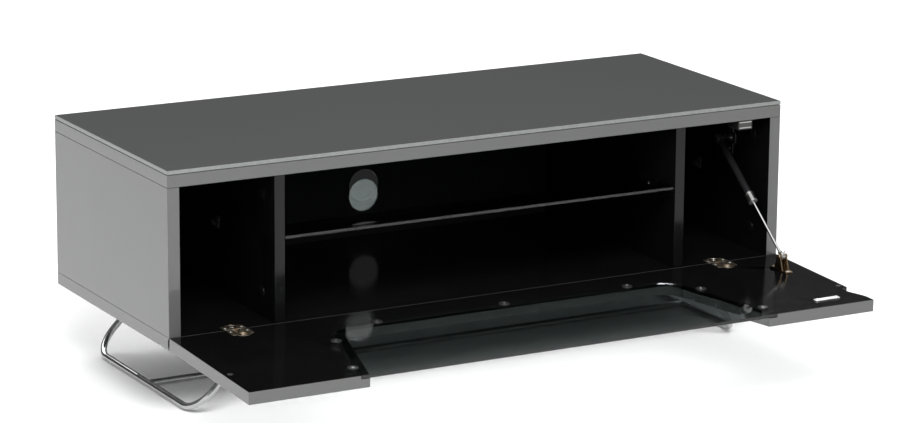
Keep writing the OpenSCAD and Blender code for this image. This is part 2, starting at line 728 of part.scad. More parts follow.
module stay_upper_screws() color("#d8d8d4") in_carcass()
  for (p = upper_screw_places) translate([inner_x - bracket_t, upper_p[0] + p[0], upper_p[1] + p[1]])
    rotate([0, -90, 0]) wood_screw(5, 13);

lower_base_l = 42;
lower_base_w = 2 * (ear_x0 + bracket_t);
lower_screw_ys = [-15, 15];

// Folded bracket on the flap: a base with two screws and a pair of three-cornered ears.
module stay_lower_bracket() color("#b89a62") in_flap()
  translate([stay_x, -joint_gap - lower_pivot_y, board_t]) difference() {
    union() {
      translate([-lower_base_w / 2, -lower_base_l / 2, 0]) cube([lower_base_w, lower_base_l, bracket_t]);
      for (x = [-ear_x0 - bracket_t, ear_x0]) translate([x, 0, 0]) hull() {
        translate([0, -11, 0]) cube([bracket_t, 22, 1]);
        translate([0, 0, lower_pivot_z]) rotate([0, 90, 0]) cylinder(h = bracket_t, d = 8, $fn = 32);
      }
      for (x = [-ear_x0 - bracket_t - 1.2, ear_x0 + bracket_t]) translate([x, 0, lower_pivot_z])
        rotate([0, 90, 0]) cylinder(h = 1.2, d = 7, $fn = 32);
    }
    for (y = lower_screw_ys) translate([0, y, bracket_t]) screw_hole(5);
  }

module stay_lower_screws() color("#d8d8d4") in_flap()
  for (y = lower_screw_ys)
    translate([stay_x, -joint_gap - lower_pivot_y + y, board_t + bracket_t]) wood_screw(5, 13);

// Catch -----------------------------------------------------------------------

catch_w = 24;
catch_l = 30;
catch_h = 14;
catch_front = 1.5;
catch_wall = 1.4;
pole_t = 1.5;
pole_gap = 6.8;           // thickness of the magnet between the two pole plates
pole_l = 18;
pole_out = 0.6;           // how far the pole plates stand out of the housing
magnet_back = 0.8;        // how far the magnet stays behind the housing's front
pole_w = catch_w - 2 * catch_wall - 2 * fit;
catch_ear_x = catch_w / 2 + 4;
catch_ear_t = 2.4;

// Frame with its origin at the catch's front, on its middle line between the pole plates.
module in_catch() in_carcass() translate([catch_x, catch_front, striker_y]) children();

// Plastic housing of the magnetic catch, screwed under the top panel by an ear on each side.
module catch_body() color("#1e1e1f") in_catch() {
  roof = board_t + inner_h - striker_y;
  pocket_h = pole_gap + 2 * pole_t + 2 * fit;
  difference() {
    union() {
      translate([-catch_w / 2, 0, roof - catch_h]) cube([catch_w, catch_l, catch_h]);
      translate([-catch_w / 2 - 8, 6, roof - catch_ear_t]) cube([catch_w + 16, 14, catch_ear_t]);
    }
    translate([-pole_w / 2 - fit, -through, -pocket_h / 2])
      cube([pole_w + 2 * fit, pole_l + fit + through, pocket_h]);
    for (side = [-1, 1])
      translate([side * catch_ear_x, 13, roof - catch_ear_t]) mirror([0, 0, 1]) screw_hole(4.5);
  }
}

module catch_screws() color("#d8d8d4") in_catch()
  for (side = [-1, 1])
    translate([side * catch_ear_x, 13, board_t + inner_h - striker_y - catch_ear_t])
      mirror([0, 0, 1]) wood_screw(4.5, 12);

module catch_poles() color("#e4e4e0") in_catch() for (z = [-pole_gap / 2 - pole_t, pole_gap / 2])
  translate([-pole_w / 2, -pole_out, z]) cube([pole_w, pole_l + pole_out, pole_t]);

module catch_magnet() color("#3a3836") in_catch()
  translate([-pole_w / 2, magnet_back, -pole_gap / 2]) cube([pole_w, pole_l - magnet_back, pole_gap]);

striker_w = 10;
striker_hole_x = striker_l / 2 - 4.5;
striker_screw_d = 2.4;

module in_striker() in_flap() translate([catch_x - 1, -joint_gap - striker_y, board_t]) children();

// Flat steel plate that the catch holds, with a screw at each end.
module striker() color("#e4e4e0") in_striker() difference() {
  translate([-striker_l / 2, -striker_w / 2, 0]) round_box([striker_l, striker_w, striker_t], 2.5);
  for (side = [-1, 1]) translate([side * striker_hole_x, 0, -through])
    cylinder(h = striker_t + 2 * through, d = striker_screw_d, $fn = 24);
}

module striker_screws() color("#d8d8d4") in_striker() for (side = [-1, 1])
  translate([side * striker_hole_x, 0, striker_t]) difference() {
    union() {
      cylinder(h = 1.4, d = 5, $fn = 32);
      translate([0, 0, -11]) cylinder(h = 11.01, d = striker_screw_d, $fn = 24);
    }
    translate([-1.6, -0.4, 0.8]) cube([3.2, 0.8, 1]);
  }

top_panel();
top_glass();
glass_bond_strips();
bottom_panel();
side_panel_left();
side_panel_right();
divider_left();
divider_right();
back_panel();
glass_shelf();
shelf_supports();
cam_locks();
cam_covers();
cam_bolts();
dowels();
cable_clips();
leg_left();
leg_right();
cross_bar();
leg_plates();
leg_screws();
leg_glides();
hinge_base_left();
hinge_base_right();
hinge_pins();
hinge_base_screws();
stay_upper_bracket();
stay_upper_screws();
catch_body();
catch_screws();
catch_poles();
catch_magnet();
flap_board();
flap_glass();
glass_clips();
glass_clip_screws();
hinge_arm_left();
hinge_arm_right();
hinge_arm_screws();
stay_lower_bracket();
stay_lower_screws();
striker();
striker_screws();
flap_bumpers();
stay_cylinder();
stay_sleeve();
stay_top_socket();
stay_rod();
stay_piston();
stay_end_fitting();
stay_end_pin();
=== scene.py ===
import json
import math

import bmesh
import bpy
from mathutils import Matrix, Vector


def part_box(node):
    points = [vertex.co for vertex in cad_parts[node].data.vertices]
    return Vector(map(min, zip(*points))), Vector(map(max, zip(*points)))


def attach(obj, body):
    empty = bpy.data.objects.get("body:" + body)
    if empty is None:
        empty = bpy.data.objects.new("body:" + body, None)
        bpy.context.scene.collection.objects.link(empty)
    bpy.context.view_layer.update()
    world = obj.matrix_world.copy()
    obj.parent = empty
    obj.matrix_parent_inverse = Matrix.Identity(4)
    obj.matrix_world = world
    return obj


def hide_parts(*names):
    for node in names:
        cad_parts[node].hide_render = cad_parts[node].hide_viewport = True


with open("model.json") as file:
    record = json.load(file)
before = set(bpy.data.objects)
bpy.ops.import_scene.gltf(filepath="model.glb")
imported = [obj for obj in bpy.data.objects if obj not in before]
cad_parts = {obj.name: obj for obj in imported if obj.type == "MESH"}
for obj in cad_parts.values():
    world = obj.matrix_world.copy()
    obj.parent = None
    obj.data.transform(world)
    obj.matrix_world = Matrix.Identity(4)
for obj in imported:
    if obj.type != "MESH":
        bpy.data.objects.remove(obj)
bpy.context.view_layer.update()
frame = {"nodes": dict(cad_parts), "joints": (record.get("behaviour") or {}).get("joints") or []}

# ---------------------------------------------------------------------------
# Sizes, in metres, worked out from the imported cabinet
# ---------------------------------------------------------------------------

MM = 0.001
joints = {joint["name"]: joint for joint in frame["joints"]}

bottom_low, bottom_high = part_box("bottom_panel")
FRONT = bottom_low.y                    # front edges of the carcass
UNDERSIDE = bottom_low.z
INNER_FLOOR = bottom_high.z
HALF_WIDTH = bottom_high.x

# The flap is drawn level, with its inner face flush with the bottom panel, and then hangs down.
FLAP_DROOP = math.radians(2)
hinge_line = Vector(joints["flap_hinge"]["pos_m"])
FLAP_REST = (Matrix.Translation(hinge_line) @ Matrix.Rotation(FLAP_DROOP, 4, "X")
             @ Matrix.Translation(-hinge_line))
FLAP_FACE = INNER_FLOOR                 # inner face of the level flap

SAME_POINT = 0.002 * MM                 # corners nearer than this are one corner
EDGE = 0.7 * MM                         # softened edge of a lacquered board


# ---------------------------------------------------------------------------
# Camera, floor and light
# ---------------------------------------------------------------------------

def aim_camera():
    azimuth, elevation, roll = math.radians(-28.815), math.radians(14.091), math.radians(0.438)
    target = Vector((-0.00694, 0.02698, 0.22782))
    distance = 5.1964
    back = Vector((math.sin(azimuth) * math.cos(elevation), -math.cos(azimuth) * math.cos(elevation),
                   math.sin(elevation)))
    data = bpy.data.cameras.new("camera")
    data.sensor_width = 36
    data.lens = 142.83
    data.clip_start = 0.1
    data.clip_end = 60
    camera = bpy.data.objects.new("camera", data)
    camera.matrix_world = (Matrix.Translation(target + back * distance)
                           @ (-back).to_track_quat("-Z", "Y").to_matrix().to_4x4()
                           @ Matrix.Rotation(roll, 4, "Z"))
    bpy.context.scene.collection.objects.link(camera)
    bpy.context.scene.camera = camera


def softbox(name, place, aim, width, height, watts):
    data = bpy.data.lights.new(name, "AREA")
    data.shape = "RECTANGLE"
    data.size = width
    data.size_y = height
    data.energy = watts
    lamp = bpy.data.objects.new(name, data)
    place = Vector(place)
    lamp.matrix_world = (Matrix.Translation(place)
                         @ (Vector(aim) - place).to_track_quat("-Z", "Y").to_matrix().to_4x4())
    bpy.context.scene.collection.objects.link(lamp)
    return lamp


def studio_sky():
    """A soft white surround that is bright in front and on the left, and dim behind the cabinet."""
    world = bpy.data.worlds.new("studio")
    bpy.context.scene.world = world
    world.use_nodes = True
    nodes, links = world.node_tree.nodes, world.node_tree.links
    background = nodes["Background"]
    direction = nodes.new("ShaderNodeTexCoord")
    toward_light = nodes.new("ShaderNodeVectorMath")
    toward_light.operation = "DOT_PRODUCT"
    brightest_direction = Vector((-0.30, -0.74, 0.60)).normalized()
    toward_light.inputs[1].default_value = brightest_direction
    ramp = nodes.new("ShaderNodeValToRGB")
    dim, bright = ramp.color_ramp.elements
    dim.position, dim.color = 0.25, (0.12, 0.12, 0.122, 1)
    bright.position, bright.color = 0.95, (0.85, 0.85, 0.85, 1)
    half = 0.5
    from_none_to_one = nodes.new("ShaderNodeMath")
    from_none_to_one.operation = "MULTIPLY_ADD"
    from_none_to_one.inputs[1].default_value = half
    from_none_to_one.inputs[2].default_value = half
    links.new(direction.outputs["Generated"], toward_light.inputs[0])
    links.new(toward_light.outputs["Value"], from_none_to_one.inputs[0])
    links.new(from_none_to_one.outputs[0], ramp.inputs["Fac"])
    links.new(ramp.outputs["Color"], background.inputs["Color"])
    background.inputs["Strength"].default_value = 0.45


def lay_floor():
    bm = bmesh.new()
    half_side = 12
    bmesh.ops.create_grid(bm, x_segments=1, y_segments=1, size=half_side)
    mesh = bpy.data.meshes.new("floor")
    bm.to_mesh(mesh)
    bm.free()
    floor = bpy.data.objects.new("floor", mesh)
    bpy.context.scene.collection.objects.link(floor)
    paint = bpy.data.materials.new("floor paint")
    paint.use_nodes = True
    shader = paint.node_tree.nodes["Principled BSDF"]
    shader.inputs["Base Color"].default_value = (0.9, 0.9, 0.903, 1)
    shader.inputs["Roughness"].default_value = 0.9
    shader.inputs["Specular IOR Level"].default_value = 0.1
    shader.inputs["Emission Color"].default_value = (1, 1, 1, 1)
    shader.inputs["Emission Strength"].default_value = 0.06
    mesh.materials.append(paint)


aim_camera()
studio_sky()
lay_floor()
softbox("left light", place=(-1.7, -0.5, 0.40), aim=(-0.45, 0.05, 0.1), width=0.9, height=0.5, watts=1.6)
softbox("top light", place=(0.0, 0.3, 3.2), aim=(0, 0.3, 0), width=5.0, height=5.0, watts=60)
softbox("back light", place=(1.2, 3.6, 3.2), aim=(1.2, 3.4, 0), width=6.5, height=4.5, watts=190)
front_light = softbox("front light", place=(-0.8, -2.4, 2.8), aim=(0, -0.2, 0),
                      width=3.0, height=1.6, watts=155)
bpy.context.scene.view_settings.view_transform = "Standard"


# ---------------------------------------------------------------------------
# Materials
# ---------------------------------------------------------------------------

def new_material(name, colour, roughness, metallic=0.0, **fixed):
    """A Principled material. Fixed socket values are given by name, with _ for a space."""
    material = bpy.data.materials.new(name)
    material.use_nodes = True
    shader = material.node_tree.nodes["Principled BSDF"]
    shader.inputs["Base Color"].default_value = (*colour, 1)
    shader.inputs["Roughness"].default_value = roughness
    shader.inputs["Metallic"].default_value = metallic
    for socket, value in fixed.items():
        shader.inputs[socket.replace("_", " ")].default_value = value
    material.diffuse_color = (*colour, 1)
    return material


NOISE_LOW, NOISE_HIGH = 0.3, 0.7        # nearly all of the noise lies between these


def add_noise(material, scale, detail, stretch=(1, 1, 1)):
    """Noise on Object coordinates; scale is in features per metre."""
    nodes, links = material.node_tree.nodes, material.node_tree.links
    coords = nodes.new("ShaderNodeTexCoord")
    mapping = nodes.new("ShaderNodeMapping")
    mapping.inputs["Scale"].default_value = stretch
    noise = nodes.new("ShaderNodeTexNoise")
    noise.inputs["Scale"].default_value = scale
    noise.inputs["Detail"].default_value = detail
    links.new(coords.outputs["Object"], mapping.inputs["Vector"])
    links.new(mapping.outputs["Vector"], noise.inputs["Vector"])
    return noise


def vary_colour(material, noise, low, high):
    nodes, links = material.node_tree.nodes, material.node_tree.links
    ramp = nodes.new("ShaderNodeValToRGB")
    first, last = ramp.color_ramp.elements
    first.position, first.color = NOISE_LOW, (*low, 1)
    last.position, last.color = NOISE_HIGH, (*high, 1)
    links.new(noise.outputs["Fac"], ramp.inputs["Fac"])
    links.new(ramp.outputs["Color"], nodes["Principled BSDF"].inputs["Base Color"])


def vary_roughness(material, noise, low, high):
    nodes, links = material.node_tree.nodes, material.node_tree.links
    span = nodes.new("ShaderNodeMapRange")
    span.inputs["From Min"].default_value = NOISE_LOW
    span.inputs["From Max"].default_value = NOISE_HIGH
    span.inputs["To Min"].default_value = low
    span.inputs["To Max"].default_value = high
    links.new(noise.outputs["Fac"], span.inputs["Value"])
    links.new(span.outputs["Result"], nodes["Principled BSDF"].inputs["Roughness"])


def add_bump(material, noise, strength, depth, coat=False):
    nodes, links = material.node_tree.nodes, material.node_tree.links
    bump = nodes.new("ShaderNodeBump")
    bump.inputs["Strength"].default_value = strength
    bump.inputs["Distance"].default_value = depth
    links.new(noise.outputs["Fac"], bump.inputs["Height"])
    links.new(bump.outputs["Normal"], nodes["Principled BSDF"].inputs["Normal"])
    if coat:
        links.new(bump.outputs["Normal"], nodes["Principled BSDF"].inputs["Coat Normal"])


def scaled(colour, factor):
    return tuple(channel * factor for channel in colour)


def lacquer(name, colour, roughness, coat_roughness):
    """Sprayed gloss lacquer: a faint orange peel and slow changes of tone and gloss."""
    material = new_material(name, colour, roughness, Specular_IOR_Level=0.25, Coat_Weight=0.55,
                            Coat_Roughness=coat_roughness)
    cloud = add_noise(material, scale=5, detail=3)
    smear = add_noise(material, scale=40, detail=4)
    orange_peel = add_noise(material, scale=380, detail=1)
    vary_colour(material, cloud, scaled(colour, 0.97), scaled(colour, 1.03))
    vary_roughness(material, smear, roughness * 0.9, roughness * 1.1)
    add_bump(material, orange_peel, strength=0.05, depth=0.2 * MM, coat=True)
    return material


def satin(name, colour, roughness, specular):
    """Smooth black finish without a clear coat, so that it mirrors only faintly."""
    material = new_material(name, colour, roughness, Specular_IOR_Level=specular)
    cloud = add_noise(material, scale=12, detail=3)
    smear = add_noise(material, scale=50, detail=4)
    grain = add_noise(material, scale=420, detail=1)
    vary_colour(material, cloud, scaled(colour, 0.85), scaled(colour, 1.2))
    vary_roughness(material, smear, roughness * 0.85, roughness * 1.2)
    add_bump(material, grain, strength=0.04, depth=0.2 * MM)
    return material


def paint_under_glass(name, colour):
    """Even grey paint seen through a polished sheet, with only a trace of waviness."""
    material = new_material(name, colour, 0.02)
    cloud = add_noise(material, scale=2.5, detail=1)
    smear = add_noise(material, scale=6, detail=1)
    wave = add_noise(material, scale=14, detail=0)
    vary_colour(material, cloud, scaled(colour, 0.985), scaled(colour, 1.015))
    vary_roughness(material, smear, 0.015, 0.025)
    add_bump(material, wave, strength=0.02, depth=0.2 * MM)
    return material


def metal(name, colour, roughness, grain=900, bump=0.04):
    material = new_material(name, colour, roughness, metallic=1.0)
    cloud = add_noise(material, scale=60, detail=3)
    polish = add_noise(material, scale=grain, detail=3)
    pits = add_noise(material, scale=grain, detail=2)
    vary_colour(material, cloud, scaled(colour, 0.94), scaled(colour, 1.04))
    vary_roughness(material, polish, roughness * 0.75, roughness * 1.25)
    add_bump(material, pits, strength=bump, depth=0.05 * MM)
    return material


def plastic(name, colour, roughness, grain=1400, bump=0.15):
    material = new_material(name, colour, roughness)
    cloud = add_noise(material, scale=30, detail=2)
    smear = add_noise(material, scale=200, detail=2)
    texture = add_noise(material, scale=grain, detail=2)
    vary_colour(material, cloud, scaled(colour, 0.9), scaled(colour, 1.12))
    vary_roughness(material, smear, roughness * 0.9, roughness * 1.1)
    add_bump(material, texture, strength=bump, depth=0.05 * MM)
    return material


def tinted_glass(name, colour):
    material = new_material(name, colour, 0.0, IOR=1.5, Transmission_Weight=1.0)
    cloud = add_noise(material, scale=4, detail=2)
    vary_colour(material, cloud, scaled(colour, 0.97), scaled(colour, 1.03))
    return material


def ground_edge(name, colour):
    """The greyish edge of a glass sheet, ground with a fine wheel."""
    material = new_material(name, colour, 0.35, Coat_Weight=0.4, Coat_Roughness=0.1)
    speckle = add_noise(material, scale=300, detail=3)
    vary_colour(material, speckle, (0.15, 0.16, 0.157), (0.2, 0.21, 0.207))
    return material


def soft_clear_rubber(name, colour):
    material = new_material(name, colour, 0.35, Transmission_Weight=0.4)
    vary_roughness(material, add_noise(material, scale=300, detail=2), 0.3, 0.42)
    return material


def wood(name, colour, grain_axis):
    material = new_material(name, colour, 0.6)
    across_grain, along_grain = 90.0, 4.0
    stretch = [across_grain, across_grain, across_grain]
    stretch[grain_axis] = along_grain
    figure = add_noise(material, scale=4, detail=6, stretch=stretch)
    vary_colour(material, figure, scaled(colour, 0.72), scaled(colour, 1.12))
    add_bump(material, figure, strength=0.2, depth=0.1 * MM)
    return material


grey_lacquer = lacquer("grey lacquer", (0.090, 0.092, 0.090), roughness=0.16, coat_roughness=0.03)
black_lacquer = satin("black lacquer", (0.0035, 0.0035, 0.0037), roughness=0.11, specular=0.24)
fibre_board = plastic("painted fibreboard", (0.010, 0.010, 0.0105), 0.6, grain=500, bump=0.3)
painted_glass = paint_under_glass("back-painted glass", (0.069, 0.071, 0.070))
ground_glass = ground_edge("ground glass edge", (0.17, 0.18, 0.177))
smoked_glass = tinted_glass("smoked glass", (0.150, 0.175, 0.170))
chrome = metal("chrome", (0.50, 0.50, 0.505), 0.05, grain=500, bump=0.01)
steel = metal("zinc-plated steel", (0.50, 0.50, 0.49), 0.28)
bright_steel = metal("polished steel", (0.82, 0.82, 0.82), 0.12, bump=0.02)
screw_steel = metal("bright screw steel", (0.92, 0.92, 0.91), 0.42, bump=0.05)
zinc = metal("cast zinc", (0.46, 0.38, 0.28), 0.36, grain=600, bump=0.12)
bronze = metal("yellow-passivated steel", (0.36, 0.27, 0.17), 0.26, grain=500, bump=0.06)
enamel = lacquer("black enamel", (0.012, 0.012, 0.013), roughness=0.25, coat_roughness=0.08)
black_plastic = plastic("black plastic", (0.014, 0.014, 0.014), 0.42)
dark_plastic = plastic("dark plastic", (0.020, 0.020, 0.0205), 0.36)
cover_plastic = satin("cam cover plastic", (0.0045, 0.0045, 0.0046), roughness=0.16, specular=0.24)
clear_rubber = soft_clear_rubber("clear rubber", (0.72, 0.73, 0.74))
beech = wood("beech", (0.55, 0.37, 0.21), grain_axis=2)
black_rubber = plastic("black rubber", (0.016, 0.016, 0.016), 0.55, grain=600, bump=0.2)
ferrite = plastic("ferrite", (0.045, 0.043, 0.04), 0.5, grain=900, bump=0.25)
bond_tape = plastic("bond tape", (0.45, 0.45, 0.44), 0.7)


# ---------------------------------------------------------------------------
# Making and finishing pieces
# ---------------------------------------------------------------------------

def new_piece(name, bm, *materials):
    mesh = bpy.data.meshes.new(name)
    bm.to_mesh(mesh)
    bm.free()
    for material in materials:
        mesh.materials.append(material)
    piece = bpy.data.objects.new(name, mesh)
    bpy.context.scene.collection.objects.link(piece)
    return piece


def apply_modifiers(piece):
    """Turns the modified piece into a plain mesh of its own."""
    settled = bpy.data.meshes.new_from_object(piece.evaluated_get(bpy.context.evaluated_depsgraph_get()))
    old = piece.data
    piece.modifiers.clear()
    piece.data = settled
    settled.name = piece.name
    bpy.data.meshes.remove(old)


def soften_edges(piece, width, segments=2):
    bevel = piece.modifiers.new("edges", "BEVEL")
    bevel.width = width
    bevel.segments = segments
    bevel.limit_method = "ANGLE"
    bevel.angle_limit = math.radians(32)
    bevel.use_clamp_overlap = False
    bevel.harden_normals = True
    apply_modifiers(piece)


def smooth(piece, angle=35):
    mesh = piece.data
    mesh.polygons.foreach_set("use_smooth", [True] * len(mesh.polygons))
    mesh.set_sharp_from_angle(angle=math.radians(angle))


flap_pieces = []


def hand_over(piece, body, node):
    """The finished piece rides on its body and stands for this node."""
    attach(piece, body)
    if body == "flap":
        flap_pieces.append(piece)
    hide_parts(node)


def cad_outline(node):
    """The node's shape as a clean bmesh: merged, and with flat faces whole again."""
    bm = bmesh.new()
    bm.from_mesh(frame["nodes"][node].data)
    bmesh.ops.remove_doubles(bm, verts=bm.verts, dist=SAME_POINT)
    same_plane = math.radians(0.4)
    bmesh.ops.dissolve_limit(bm, angle_limit=same_plane, verts=bm.verts, edges=bm.edges)
    return bm


def keep_inside(piece, node):
    """Bring back any corner that softening pushed past the part's own extent."""
    outline = frame["nodes"][node].data
    low = [min(v.co[axis] for v in outline.vertices) for axis in range(3)]
    high = [max(v.co[axis] for v in outline.vertices) for axis in range(3)]
    for vert in piece.data.vertices:
        vert.co = [min(max(vert.co[axis], low[axis]), high[axis]) for axis in range(3)]


def dressed(node, body, edge, materials, choose=None):
    """The node's own shape with softened edges, and a material for each face."""
    piece = new_piece(node + "_piece", cad_outline(node), *materials)
    smooth(piece)
    soften_edges(piece, edge)
    keep_inside(piece, node)
    if choose:
        for face in piece.data.polygons:
            face.material_index = choose(face.center, face.normal)
    hand_over(piece, body, node)


def box_bm(low, high):
    bm = bmesh.new()
    low, high = Vector(low), Vector(high)
    middle, size = (low + high) / 2, high - low
    bmesh.ops.create_cube(bm, size=1, matrix=Matrix.Translation(middle) @ Matrix.Diagonal((*size, 1)))
    return bm


def solids(node, level=None):
    """(low, high) of each loose solid of a node. With level given, they are measured before that turn."""
    bm = bmesh.new()
    bm.from_mesh(frame["nodes"][node].data)
    bmesh.ops.remove_doubles(bm, verts=bm.verts, dist=SAME_POINT)
    if level:
        bm.transform(level.inverted())
    boxes = []
    waiting = set(bm.verts)
    while waiting:
        stack = [waiting.pop()]
        points = []
        while stack:
            vert = stack.pop()
            points.append(vert.co.copy())
            for edge in vert.link_edges:
                other = edge.other_vert(vert)
                if other in waiting:
                    waiting.remove(other)
                    stack.append(other)
        boxes.append((Vector([min(p[i] for p in points) for i in range(3)]),
                      Vector([max(p[i] for p in points) for i in range(3)])))
    bm.free()
    return sorted(boxes, key=lambda pair: tuple(round(c, 4) for c in pair[0]))


# ---------------------------------------------------------------------------
# Geometry Nodes: a bar along a path, and fixings at a set of places
# ---------------------------------------------------------------------------

def add_input(tree, name, kind):
    return tree.interface.new_socket(name=name, in_out="INPUT", socket_type="NodeSocket" + kind).identifier


def bar_tree():
    tree = bpy.data.node_groups.new("bar along a path", "GeometryNodeTree")
    ids = {name: add_input(tree, name, kind) for name, kind in
           (("Path", "Geometry"), ("Bar radius", "Float"), ("Sides", "Int"), ("Finish", "Material"))}
    tree.interface.new_socket(name="Bar", in_out="OUTPUT", socket_type="NodeSocketGeometry")
    nodes, links = tree.nodes, tree.links
    given = nodes.new("NodeGroupInput")
    path = nodes.new("GeometryNodeMeshToCurve")
    circle = nodes.new("GeometryNodeCurvePrimitiveCircle")
    sweep = nodes.new("GeometryNodeCurveToMesh")
    sweep.inputs["Fill Caps"].default_value = True
    shade = nodes.new("GeometryNodeSetShadeSmooth")
    real = nodes.new("GeometryNodeRealizeInstances")
    finish = nodes.new("GeometryNodeSetMaterial")
    out = nodes.new("NodeGroupOutput")
    links.new(given.outputs["Path"], path.inputs["Mesh"])
    links.new(given.outputs["Sides"], circle.inputs["Resolution"])
    links.new(given.outputs["Bar radius"], circle.inputs["Radius"])
    links.new(path.outputs["Curve"], sweep.inputs["Curve"])
    links.new(circle.outputs["Curve"], sweep.inputs["Profile Curve"])
    links.new(sweep.outputs["Mesh"], shade.inputs["Geometry"])
    links.new(shade.outputs["Geometry"], real.inputs["Geometry"])
    links.new(real.outputs["Geometry"], finish.inputs["Geometry"])
    links.new(given.outputs["Finish"], finish.inputs["Material"])
    links.new(finish.outputs["Geometry"], out.inputs["Bar"])
    return tree, ids


def fixing_tree():
    tree = bpy.data.node_groups.new("fixings at places", "GeometryNodeTree")
    ids = {name: add_input(tree, name, kind) for name, kind in
           (("Places", "Geometry"), ("Fixing", "Object"), ("Finish", "Material"))}
    tree.interface.new_socket(name="Fixings", in_out="OUTPUT", socket_type="NodeSocketGeometry")
    nodes, links = tree.nodes, tree.links
    given = nodes.new("NodeGroupInput")
    heading = nodes.new("GeometryNodeInputNamedAttribute")
    heading.data_type = "FLOAT_VECTOR"
    heading.inputs["Name"].default_value = "heading"
    turn = nodes.new("GeometryNodeInputNamedAttribute")
    turn.data_type = "FLOAT"
    turn.inputs["Name"].default_value = "turn"
    align = nodes.new("FunctionNodeAlignRotationToVector")
    align.axis = "Z"
    about = nodes.new("FunctionNodeAxisAngleToRotation")
    about.inputs["Axis"].default_value = (0, 0, 1)
    spin = nodes.new("FunctionNodeRotateRotation")
    spin.rotation_space = "LOCAL"
    shape = nodes.new("GeometryNodeObjectInfo")
    shape.transform_space = "ORIGINAL"
    copies = nodes.new("GeometryNodeInstanceOnPoints")
    real = nodes.new("GeometryNodeRealizeInstances")
    finish = nodes.new("GeometryNodeSetMaterial")
    out = nodes.new("NodeGroupOutput")
    links.new(heading.outputs["Attribute"], align.inputs["Vector"])
    links.new(turn.outputs["Attribute"], about.inputs["Angle"])
    links.new(align.outputs["Rotation"], spin.inputs["Rotation"])
    links.new(about.outputs["Rotation"], spin.inputs["Rotate By"])
    links.new(given.outputs["Places"], copies.inputs["Points"])
    links.new(given.outputs["Fixing"], shape.inputs["Object"])
    links.new(shape.outputs["Geometry"], copies.inputs["Instance"])
    links.new(spin.outputs["Rotation"], copies.inputs["Rotation"])
    links.new(copies.outputs["Instances"], real.inputs["Geometry"])
    links.new(real.outputs["Geometry"], finish.inputs["Geometry"])
    links.new(given.outputs["Finish"], finish.inputs["Material"])
    links.new(finish.outputs["Geometry"], out.inputs["Fixings"])
    return tree, ids


BAR_TREE, BAR_INPUTS = bar_tree()
FIXING_TREE, FIXING_INPUTS = fixing_tree()


BAR_SIDES = 40
BEND_STEPS = 16


def bar(name, points, diameter, material):
    """A round bar along these points, as a plain mesh piece."""
    bm = bmesh.new()
    verts = [bm.verts.new(p) for p in points]
    for a, b in zip(verts, verts[1:]):
        bm.edges.new((a, b))
    piece = new_piece(name, bm)
    modifier = piece.modifiers.new("bar", "NODES")
    modifier.node_group = BAR_TREE
    modifier[BAR_INPUTS["Bar radius"]] = diameter / 2
    modifier[BAR_INPUTS["Sides"]] = BAR_SIDES
    modifier[BAR_INPUTS["Finish"]] = material
    apply_modifiers(piece)
    return piece


def fixings(name, pattern_bm, places, material):
    """A copy of the pattern at each (position, heading, turn), as one plain mesh piece."""
    pattern = new_piece(name + "_pattern", pattern_bm)
    smooth(pattern, SCREW_EDGE)
    bm = bmesh.new()
    for position, _, _ in places:
        bm.verts.new(position)
    piece = new_piece(name, bm)
    piece.data.attributes.new("heading", "FLOAT_VECTOR", "POINT")
    piece.data.attributes.new("turn", "FLOAT", "POINT")
    heading = piece.data.attributes["heading"]
    turn = piece.data.attributes["turn"]
    for k, (_, direction, angle) in enumerate(places):
        heading.data[k].vector = direction
        turn.data[k].value = angle
    modifier = piece.modifiers.new("fixings", "NODES")
    modifier.node_group = FIXING_TREE
    modifier[FIXING_INPUTS["Fixing"]] = pattern
    modifier[FIXING_INPUTS["Finish"]] = material
    apply_modifiers(piece)
    for given in ("heading", "turn"):
        if given in piece.data.attributes:
            piece.data.attributes.remove(piece.data.attributes[given])
    bpy.data.objects.remove(pattern)
    return piece


def bend(points, radius):
    """The path with its corners rounded to this radius."""
    points = [Vector(p) for p in points]
    out = [points[0]]
    for before, corner, after in zip(points, points[1:], points[2:]):
        a, b = (before - corner).normalized(), (after - corner).normalized()
        half = a.angle(b) / 2
        cut = radius / math.tan(half)
        centre = corner + (a + b).normalized() * radius / math.sin(half)
        start, end = corner + a * cut - centre, corner + b * cut - centre
        total = start.angle(end)
        for k in range(BEND_STEPS + 1):
            t = k / BEND_STEPS
            out.append(centre + (start * math.sin((1 - t) * total) + end * math.sin(t * total))
                       / math.sin(total))
    out.append(points[-1])
    return out


# ---------------------------------------------------------------------------
# Boards and glass
# ---------------------------------------------------------------------------

FACING = 0.6                            # a face looks a way if its normal has this much of it
OUTSIDE, INSIDE = 0, 1                  # places of grey and of black lacquer on a board


def carcass_board(node, inward):
    """Grey lacquer outside, black lacquer on the face that looks into the cabinet."""
    dressed(node, "carcass", EDGE, (grey_lacquer, black_lacquer),
            lambda centre, normal: INSIDE if normal.dot(inward) > FACING else OUTSIDE)


def plain_board(node, material, edge):
    dressed(node, "carcass", edge, (material,))


def top_sheet():
    """The sheet over the top: grey paint on its flat faces, and a ground edge all round."""
    low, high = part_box("top_glass")
    piece = new_piece("top_glass_piece", box_bm(low, high), painted_glass, ground_glass)
    soften_edges(piece, 0.6 * MM, 3)
    level, wide = 0.99, 0.01
    for face in piece.data.polygons:
        painted = abs(face.normal.z) > level and face.area > wide
        face.material_index = 0 if painted else 1
    hand_over(piece, "carcass", "top_glass")


def shelf_sheet():
    low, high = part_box("glass_shelf")
    piece = new_piece("glass_shelf_piece", box_bm(low, high), smoked_glass)
    soften_edges(piece, 0.8 * MM, 3)
    hand_over(piece, "carcass", "glass_shelf")


